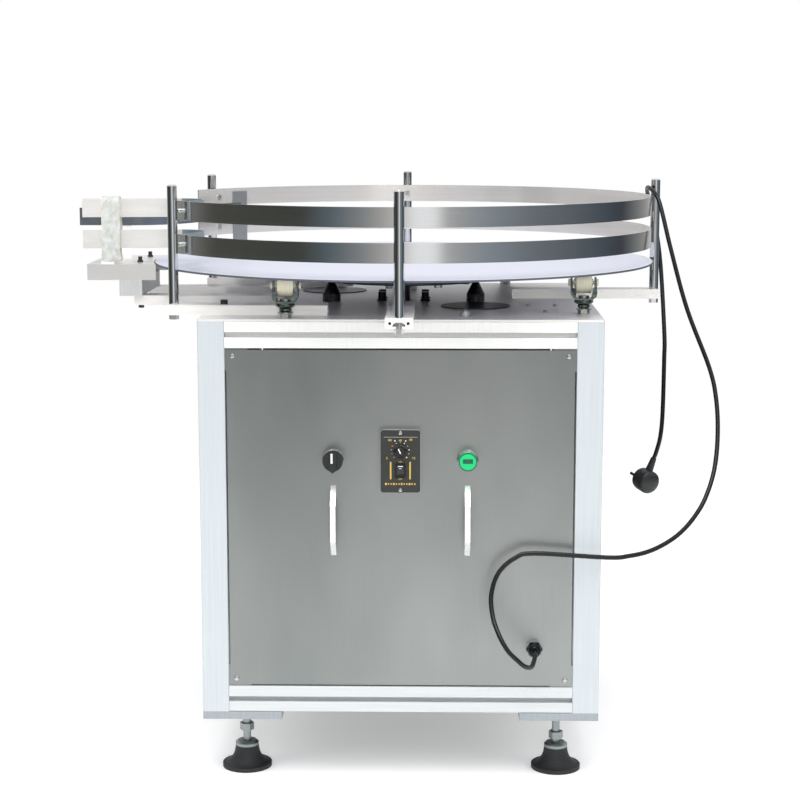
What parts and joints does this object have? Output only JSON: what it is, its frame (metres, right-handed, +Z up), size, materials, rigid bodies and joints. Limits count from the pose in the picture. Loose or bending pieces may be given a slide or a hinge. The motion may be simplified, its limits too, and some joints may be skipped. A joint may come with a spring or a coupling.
{
  "type": "bottle unscrambler",
  "caption": "Rotary bottle unscrambling table: a flat disc inside ring guides with an exit lane and tray, on a framed cabinet with speed control and levelling feet.",
  "frame": {"origin": "on the floor, midway between the outer end of the far exit rail and the outer end of the right arm, and midway from front to back", "axes": "+Z up, the front of the cabinet with its controls towards -Y, the exit lane towards -X"},
  "size_m": [1.0344, 0.838, 0.9],
  "materials": {
    "anodised_aluminium": "satin anodised",
    "brushed_stainless": "brushed",
    "polished_stainless": "polished",
    "chromed_steel": "polished",
    "zinc_steel": "zinc plated",
    "black_rubber": "matte",
    "black_plastic": "fine matte",
    "black_steel": "black oxide",
    "blue_paint": "semi gloss paint",
    "cast_aluminium": "cast",
    "cream_nylon": "smooth",
    "green_lens": "clear glossy",
    "white_foam": "crinkled foam",
    "dark_steel": "turned"
  },
  "bodies": {
    "cabinet": {"corner_posts": "anodised_aluminium", "top_rails": "anodised_aluminium", "bottom_rails": "anodised_aluminium", "foot_plates": "anodised_aluminium", "front_panel": "brushed_stainless", "rear_panel": "brushed_stainless", "side_panels": "brushed_stainless", "panel_gussets": "zinc_steel", "panel_screws": "zinc_steel", "top_plate": "brushed_stainless", "hole_covers": "black_plastic", "support_cones": "dark_steel", "plate_bolts": "black_steel", "support_arms": "anodised_aluminium", "arm_bolts": "dark_steel", "guard_posts": "chromed_steel", "upper_ring": "polished_stainless", "lower_ring": "polished_stainless", "ring_fixings": "zinc_steel", "ring_tie": "polished_stainless", "near_exit_rails": "polished_stainless", "far_exit_rail": "polished_stainless", "rail_bars": "brushed_stainless", "foam_wrap": "white_foam", "exit_tray": "brushed_stainless", "tray_bracket": "anodised_aluminium", "gearbox": "cast_aluminium", "motor": "blue_paint", "caster_studs": "zinc_steel", "speed_controller": "black_plastic", "selector_base": "chromed_steel", "lamp_base": "chromed_steel", "lamp_lens": "green_lens", "door_handles": "chromed_steel", "cable_gland": "black_plastic", "power_cord": "black_rubber", "power_plug": "black_plastic"},
    "turntable": {"turntable_disc": "brushed_stainless", "hub_flange": "blue_paint", "hub_bolts": "zinc_steel", "drive_shaft": "dark_steel"},
    "foot_front_left": {"foot_stem_front_left": "zinc_steel", "foot_pad_front_left": "black_rubber"},
    "foot_front_right": {"foot_stem_front_right": "zinc_steel", "foot_pad_front_right": "black_rubber"},
    "foot_rear_right": {"foot_stem_rear_right": "zinc_steel", "foot_pad_rear_right": "black_rubber"},
    "foot_rear_left": {"foot_stem_rear_left": "zinc_steel", "foot_pad_rear_left": "black_rubber"},
    "caster_fork_front_left": {"caster_fork_front_left": "zinc_steel"},
    "caster_wheel_front_left": {"caster_wheel_front_left": "cream_nylon"},
    "caster_fork_front_right": {"caster_fork_front_right": "zinc_steel"},
    "caster_wheel_front_right": {"caster_wheel_front_right": "cream_nylon"},
    "caster_fork_rear_left": {"caster_fork_rear_left": "zinc_steel"},
    "caster_wheel_rear_left": {"caster_wheel_rear_left": "cream_nylon"},
    "caster_fork_rear_right": {"caster_fork_rear_right": "zinc_steel"},
    "caster_wheel_rear_right": {"caster_wheel_rear_right": "cream_nylon"},
    "speed_knob": {"speed_knob": "black_plastic"},
    "rocker": {"rocker_switch": "black_plastic"},
    "selector": {"selector_knob": "black_plastic"}
  },
  "joints": [
    {"name": "turntable_spin", "type": "hinge", "parent": "cabinet", "child": "turntable", "pos_m": [0.06138, 0, 0.75], "axis": [0, 0, 1], "continuous": true},
    {"name": "foot_height_front_left", "type": "slide", "parent": "cabinet", "child": "foot_front_left", "axis": [0, 0, 1], "range_m": [-0.02, 0]},
    {"name": "foot_height_front_right", "type": "slide", "parent": "cabinet", "child": "foot_front_right", "axis": [0, 0, 1], "range_m": [-0.02, 0]},
    {"name": "foot_height_rear_right", "type": "slide", "parent": "cabinet", "child": "foot_rear_right", "axis": [0, 0, 1], "range_m": [-0.02, 0]},
    {"name": "foot_height_rear_left", "type": "slide", "parent": "cabinet", "child": "foot_rear_left", "axis": [0, 0, 1], "range_m": [-0.02, 0]},
    {"name": "caster_swivel_front_left", "type": "hinge", "parent": "cabinet", "child": "caster_fork_front_left", "pos_m": [-0.10962, -0.276, 0.73], "axis": [0, 0, 1], "continuous": true},
    {"name": "caster_roll_front_left", "type": "hinge", "parent": "caster_fork_front_left", "child": "caster_wheel_front_left", "pos_m": [-0.10962, -0.264, 0.7524], "axis": [1, 0, 0], "continuous": true},
    {"name": "caster_swivel_front_right", "type": "hinge", "parent": "cabinet", "child": "caster_fork_front_right", "pos_m": [0.33648, -0.2151, 0.73], "axis": [0, 0, 1], "continuous": true},
    {"name": "caster_roll_front_right", "type": "hinge", "parent": "caster_fork_front_right", "child": "caster_wheel_front_right", "pos_m": [0.33648, -0.2031, 0.7524], "axis": [1, 0, 0], "continuous": true},
    {"name": "caster_swivel_rear_left", "type": "hinge", "parent": "cabinet", "child": "caster_fork_rear_left", "pos_m": [-0.21372, 0.276, 0.73], "axis": [0, 0, 1], "continuous": true},
    {"name": "caster_roll_rear_left", "type": "hinge", "parent": "caster_fork_rear_left", "child": "caster_wheel_rear_left", "pos_m": [-0.21372, 0.288, 0.7524], "axis": [1, 0, 0], "continuous": true},
    {"name": "caster_swivel_rear_right", "type": "hinge", "parent": "cabinet", "child": "caster_fork_rear_right", "pos_m": [0.23628, 0.276, 0.73], "axis": [0, 0, 1], "continuous": true},
    {"name": "caster_roll_rear_right", "type": "hinge", "parent": "caster_fork_rear_right", "child": "caster_wheel_rear_right", "pos_m": [0.23628, 0.288, 0.7524], "axis": [1, 0, 0], "continuous": true},
    {"name": "speed_turn", "type": "hinge", "parent": "cabinet", "child": "speed_knob", "pos_m": [0.06138, -0.307, 0.511], "axis": [0, 1, 0], "range_deg": [-120, 180]},
    {"name": "rocker_tilt", "type": "hinge", "parent": "cabinet", "child": "rocker", "pos_m": [0.06138, -0.302, 0.482], "axis": [1, 0, 0], "range_deg": [0, 18]},
    {"name": "selector_turn", "type": "hinge", "parent": "cabinet", "child": "selector", "pos_m": [-0.03862, -0.304, 0.4965], "axis": [0, 1, 0], "range_deg": [-45, 45]}
  ]
}
